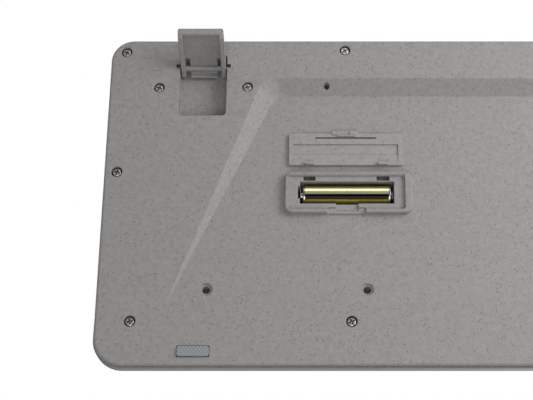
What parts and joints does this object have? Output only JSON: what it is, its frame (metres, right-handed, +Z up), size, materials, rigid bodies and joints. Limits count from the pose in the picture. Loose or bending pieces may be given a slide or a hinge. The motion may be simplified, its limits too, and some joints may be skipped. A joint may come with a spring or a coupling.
{
  "type": "wireless keyboard",
  "caption": "Full-size wireless keyboard in speckled plastic, with flip-out tilt feet, a lift-off door over one slim cell and a recessed wedge underside.",
  "frame": {"origin": "on the desk, under the middle of the keyboard's footprint, standing on its front pads and unfolded feet", "axes": "+Z up with the keys on top, +Y towards the rear edge with the feet, +X towards the number pad; the key deck rises towards +Y"},
  "size_m": [0.45, 0.1696, 0.0435],
  "materials": {
    "case_plastic": "matt, speckled with plant fibre",
    "key_plastic": "matt, speckled with plant fibre",
    "pad_rubber": "matt, diagonal ribs",
    "screw_steel": "nickel plated",
    "cell_foil": "metallic foil sleeve",
    "contact_metal": "nickel plated",
    "membrane_film": "clear film with printed tracks",
    "dome_silicone": "soft matt",
    "board_laminate": "solder mask",
    "chip_black": "matt",
    "led_body": "clear resin",
    "lens_clear": "frosted clear",
    "wire_red": "flexible insulation",
    "wire_black": "flexible insulation"
  },
  "bodies": {
    "case": {"bottom_cover": "case_plastic", "top_case": "case_plastic", "rubber_pad_right": "pad_rubber", "rubber_pad_left": "pad_rubber", "case_screws": "screw_steel", "battery_contact_plate": "contact_metal", "battery_contact_spring": "contact_metal", "membrane_bottom_sheet": "membrane_film", "membrane_spacer": "membrane_film", "membrane_top_sheet": "membrane_film", "dome_mat": "dome_silicone", "controller_board": "board_laminate", "controller_chip": "chip_black", "membrane_clamp_bar": "screw_steel", "board_screws": "screw_steel", "status_leds": "led_body", "indicator_lens": "lens_clear", "battery_wire_red": "wire_red", "battery_wire_black": "wire_black"},
    "right_foot": {"tilt_foot_right": "case_plastic"},
    "left_foot": {"tilt_foot_left": "case_plastic"},
    "door": {"battery_door": "case_plastic"},
    "cell": {"battery_cell": "cell_foil"},
    "key_escape": {"key_escape": "key_plastic"},
    "key_backspace": {"key_backspace": "key_plastic"},
    "key_tab": {"key_tab": "key_plastic"},
    "key_caps_lock": {"key_caps_lock": "key_plastic"},
    "key_enter": {"key_enter": "key_plastic"},
    "key_shift_left": {"key_shift_left": "key_plastic"},
    "key_shift_right": {"key_shift_right": "key_plastic"},
    "key_space": {"key_space": "key_plastic"},
    "key_arrow_up": {"key_arrow_up": "key_plastic"},
    "key_arrow_left": {"key_arrow_left": "key_plastic"},
    "key_arrow_down": {"key_arrow_down": "key_plastic"},
    "key_arrow_right": {"key_arrow_right": "key_plastic"},
    "key_pad_zero": {"key_pad_zero": "key_plastic"},
    "key_pad_point": {"key_pad_point": "key_plastic"},
    "key_pad_plus": {"key_pad_plus": "key_plastic"},
    "key_pad_enter": {"key_pad_enter": "key_plastic"},
    "keys_function_1_to_4": {"keys_function_1_to_4": "key_plastic"},
    "keys_function_5_to_8": {"keys_function_5_to_8": "key_plastic"},
    "keys_function_9_to_12": {"keys_function_9_to_12": "key_plastic"},
    "keys_print_group": {"keys_print_group": "key_plastic"},
    "keys_number_row": {"keys_number_row": "key_plastic"},
    "keys_upper_letters": {"keys_upper_letters": "key_plastic"},
    "keys_home_letters": {"keys_home_letters": "key_plastic"},
    "keys_lower_letters": {"keys_lower_letters": "key_plastic"},
    "keys_bottom_left": {"keys_bottom_left": "key_plastic"},
    "keys_bottom_right": {"keys_bottom_right": "key_plastic"},
    "keys_insert_group": {"keys_insert_group": "key_plastic"},
    "keys_delete_group": {"keys_delete_group": "key_plastic"},
    "keys_pad_top": {"keys_pad_top": "key_plastic"},
    "keys_pad_789": {"keys_pad_789": "key_plastic"},
    "keys_pad_456": {"keys_pad_456": "key_plastic"},
    "keys_pad_123": {"keys_pad_123": "key_plastic"}
  },
  "joints": [
    {"name": "right_foot_fold", "type": "hinge", "parent": "case", "child": "right_foot", "pos_m": [0.1772, 0.07017, 0.02144], "axis": [-1, 0, 0], "range_deg": [0, 109.5]},
    {"name": "left_foot_fold", "type": "hinge", "parent": "case", "child": "left_foot", "pos_m": [-0.1772, 0.07017, 0.02144], "axis": [-1, 0, 0], "range_deg": [0, 109.5]},
    {"name": "door_close", "type": "hinge", "parent": "case", "child": "door", "pos_m": [0.1046, 0.0143, 0.01458], "axis": [-1, 0, 0], "range_deg": [0, 180]},
    {"name": "cell_lift_out", "type": "slide", "parent": "case", "child": "cell", "axis": [0, -0.1789, 0.9839], "range_m": [-0.014, 0]},
    {"name": "key_escape_press", "type": "slide", "parent": "case", "child": "key_escape", "axis": [0, 0.1789, -0.9839], "range_m": [0, 0.0025], "stiffness_N_per_m": 250, "deforming": ["dome_mat"]},
    {"name": "key_backspace_press", "type": "slide", "parent": "case", "child": "key_backspace", "axis": [0, 0.1789, -0.9839], "range_m": [0, 0.0025], "stiffness_N_per_m": 250},
    {"name": "key_tab_press", "type": "slide", "parent": "case", "child": "key_tab", "axis": [0, 0.1789, -0.9839], "range_m": [0, 0.0025], "stiffness_N_per_m": 250},
    {"name": "key_caps_lock_press", "type": "slide", "parent": "case", "child": "key_caps_lock", "axis": [0, 0.1789, -0.9839], "range_m": [0, 0.0025], "stiffness_N_per_m": 250},
    {"name": "key_enter_press", "type": "slide", "parent": "case", "child": "key_enter", "axis": [0, 0.1789, -0.9839], "range_m": [0, 0.0025], "stiffness_N_per_m": 250},
    {"name": "key_shift_left_press", "type": "slide", "parent": "case", "child": "key_shift_left", "axis": [0, 0.1789, -0.9839], "range_m": [0, 0.0025], "stiffness_N_per_m": 250},
    {"name": "key_shift_right_press", "type": "slide", "parent": "case", "child": "key_shift_right", "axis": [0, 0.1789, -0.9839], "range_m": [0, 0.0025], "stiffness_N_per_m": 250},
    {"name": "key_space_press", "type": "slide", "parent": "case", "child": "key_space", "axis": [0, 0.1789, -0.9839], "range_m": [0, 0.0025], "stiffness_N_per_m": 250},
    {"name": "key_arrow_up_press", "type": "slide", "parent": "case", "child": "key_arrow_up", "axis": [0, 0.1789, -0.9839], "range_m": [0, 0.0025], "stiffness_N_per_m": 250},
    {"name": "key_arrow_left_press", "type": "slide", "parent": "case", "child": "key_arrow_left", "axis": [0, 0.1789, -0.9839], "range_m": [0, 0.0025], "stiffness_N_per_m": 250},
    {"name": "key_arrow_down_press", "type": "slide", "parent": "case", "child": "key_arrow_down", "axis": [0, 0.1789, -0.9839], "range_m": [0, 0.0025], "stiffness_N_per_m": 250},
    {"name": "key_arrow_right_press", "type": "slide", "parent": "case", "child": "key_arrow_right", "axis": [0, 0.1789, -0.9839], "range_m": [0, 0.0025], "stiffness_N_per_m": 250},
    {"name": "key_pad_zero_press", "type": "slide", "parent": "case", "child": "key_pad_zero", "axis": [0, 0.1789, -0.9839], "range_m": [0, 0.0025], "stiffness_N_per_m": 250},
    {"name": "key_pad_point_press", "type": "slide", "parent": "case", "child": "key_pad_point", "axis": [0, 0.1789, -0.9839], "range_m": [0, 0.0025], "stiffness_N_per_m": 250},
    {"name": "key_pad_plus_press", "type": "slide", "parent": "case", "child": "key_pad_plus", "axis": [0, 0.1789, -0.9839], "range_m": [0, 0.0025], "stiffness_N_per_m": 250},
    {"name": "key_pad_enter_press", "type": "slide", "parent": "case", "child": "key_pad_enter", "axis": [0, 0.1789, -0.9839], "range_m": [0, 0.0025], "stiffness_N_per_m": 250},
    {"name": "keys_function_1_to_4_press", "type": "slide", "parent": "case", "child": "keys_function_1_to_4", "axis": [0, 0.1789, -0.9839], "range_m": [0, 0.0025], "stiffness_N_per_m": 1000},
    {"name": "keys_function_5_to_8_press", "type": "slide", "parent": "case", "child": "keys_function_5_to_8", "axis": [0, 0.1789, -0.9839], "range_m": [0, 0.0025], "stiffness_N_per_m": 1000},
    {"name": "keys_function_9_to_12_press", "type": "slide", "parent": "case", "child": "keys_function_9_to_12", "axis": [0, 0.1789, -0.9839], "range_m": [0, 0.0025], "stiffness_N_per_m": 1000},
    {"name": "keys_print_group_press", "type": "slide", "parent": "case", "child": "keys_print_group", "axis": [0, 0.1789, -0.9839], "range_m": [0, 0.0025], "stiffness_N_per_m": 750},
    {"name": "keys_number_row_press", "type": "slide", "parent": "case", "child": "keys_number_row", "axis": [0, 0.1789, -0.9839], "range_m": [0, 0.0025], "stiffness_N_per_m": 3250},
    {"name": "keys_upper_letters_press", "type": "slide", "parent": "case", "child": "keys_upper_letters", "axis": [0, 0.1789, -0.9839], "range_m": [0, 0.0025], "stiffness_N_per_m": 3250},
    {"name": "keys_home_letters_press", "type": "slide", "parent": "case", "child": "keys_home_letters", "axis": [0, 0.1789, -0.9839], "range_m": [0, 0.0025], "stiffness_N_per_m": 2750},
    {"name": "keys_lower_letters_press", "type": "slide", "parent": "case", "child": "keys_lower_letters", "axis": [0, 0.1789, -0.9839], "range_m": [0, 0.0025], "stiffness_N_per_m": 2500},
    {"name": "keys_bottom_left_press", "type": "slide", "parent": "case", "child": "keys_bottom_left", "axis": [0, 0.1789, -0.9839], "range_m": [0, 0.0025], "stiffness_N_per_m": 750},
    {"name": "keys_bottom_right_press", "type": "slide", "parent": "case", "child": "keys_bottom_right", "axis": [0, 0.1789, -0.9839], "range_m": [0, 0.0025], "stiffness_N_per_m": 1000},
    {"name": "keys_insert_group_press", "type": "slide", "parent": "case", "child": "keys_insert_group", "axis": [0, 0.1789, -0.9839], "range_m": [0, 0.0025], "stiffness_N_per_m": 750},
    {"name": "keys_delete_group_press", "type": "slide", "parent": "case", "child": "keys_delete_group", "axis": [0, 0.1789, -0.9839], "range_m": [0, 0.0025], "stiffness_N_per_m": 750},
    {"name": "keys_pad_top_press", "type": "slide", "parent": "case", "child": "keys_pad_top", "axis": [0, 0.1789, -0.9839], "range_m": [0, 0.0025], "stiffness_N_per_m": 1000},
    {"name": "keys_pad_789_press", "type": "slide", "parent": "case", "child": "keys_pad_789", "axis": [0, 0.1789, -0.9839], "range_m": [0, 0.0025], "stiffness_N_per_m": 750},
    {"name": "keys_pad_456_press", "type": "slide", "parent": "case", "child": "keys_pad_456", "axis": [0, 0.1789, -0.9839], "range_m": [0, 0.0025], "stiffness_N_per_m": 750},
    {"name": "keys_pad_123_press", "type": "slide", "parent": "case", "child": "keys_pad_123", "axis": [0, 0.1789, -0.9839], "range_m": [0, 0.0025], "stiffness_N_per_m": 750}
  ]
}
